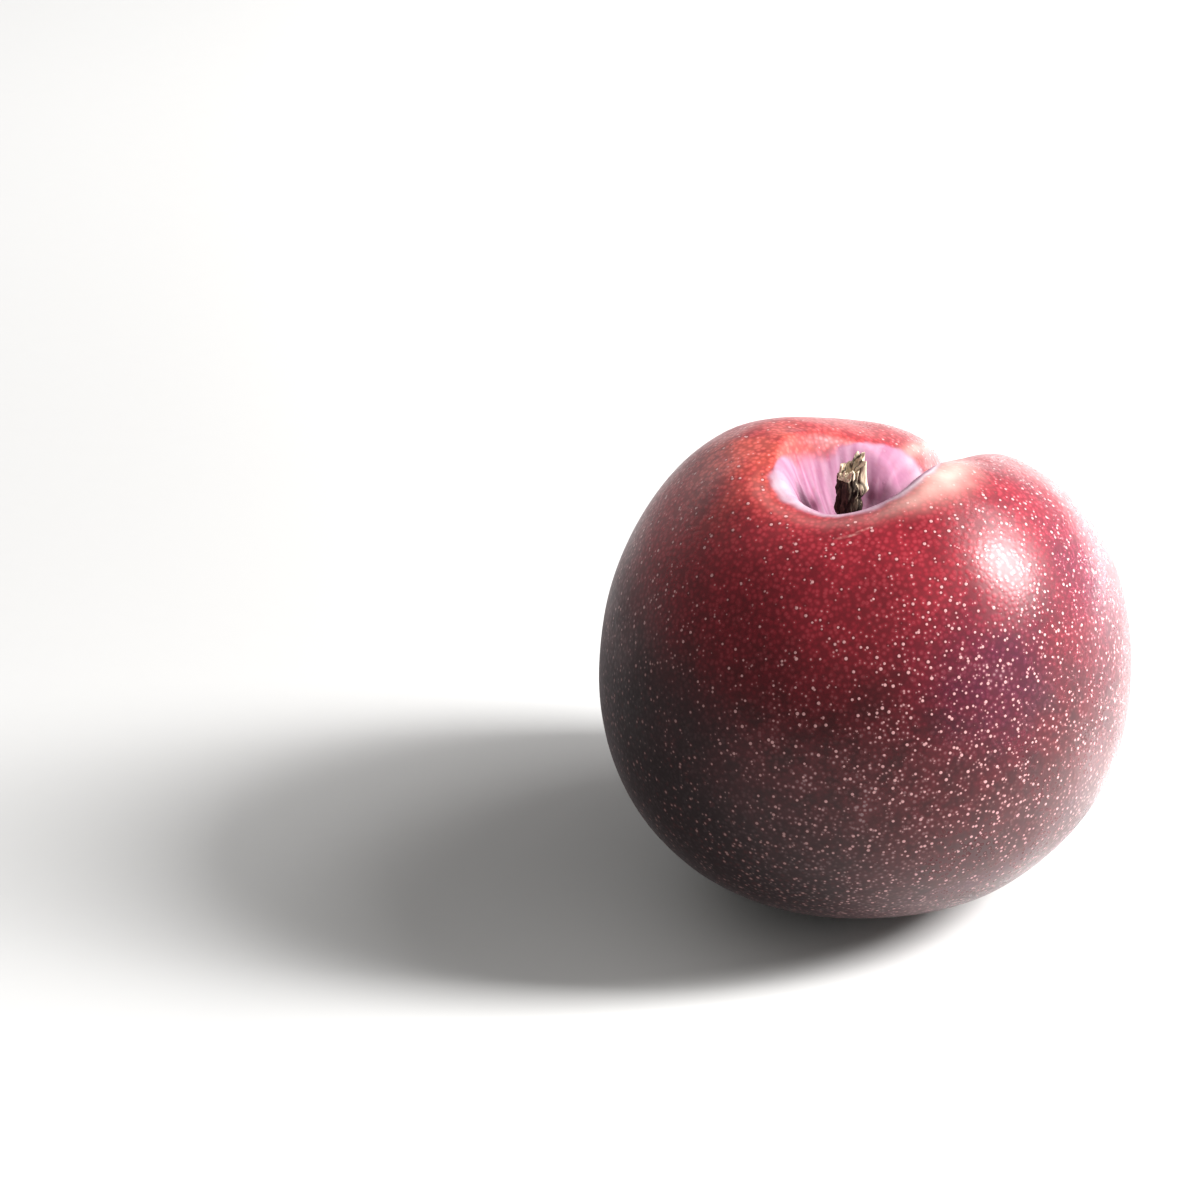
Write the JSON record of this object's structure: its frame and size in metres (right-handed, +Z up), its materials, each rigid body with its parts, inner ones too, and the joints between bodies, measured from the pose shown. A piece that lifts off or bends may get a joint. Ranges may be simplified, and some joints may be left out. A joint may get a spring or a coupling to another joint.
{
  "type": "plum",
  "caption": "Ripe round plum with an off-centre stem cavity, a suture groove and a short broken-off stem, resting on a small flat spot.",
  "frame": {"origin": "on the surface that the plum rests on, under the middle of its bounding box", "axes": "+Z up; the suture leaves the stem cavity between +X and +Y"},
  "size_m": [0.0634, 0.0646, 0.0568],
  "materials": {
    "skin": "satin waxy skin, dark maroon with pale dots and a light bloom",
    "stem": "dry rough bark with a torn pale end"
  },
  "bodies": {
    "root": {"plum_fruit": "skin", "stem_stub": "stem"}
  },
  "joints": []
}
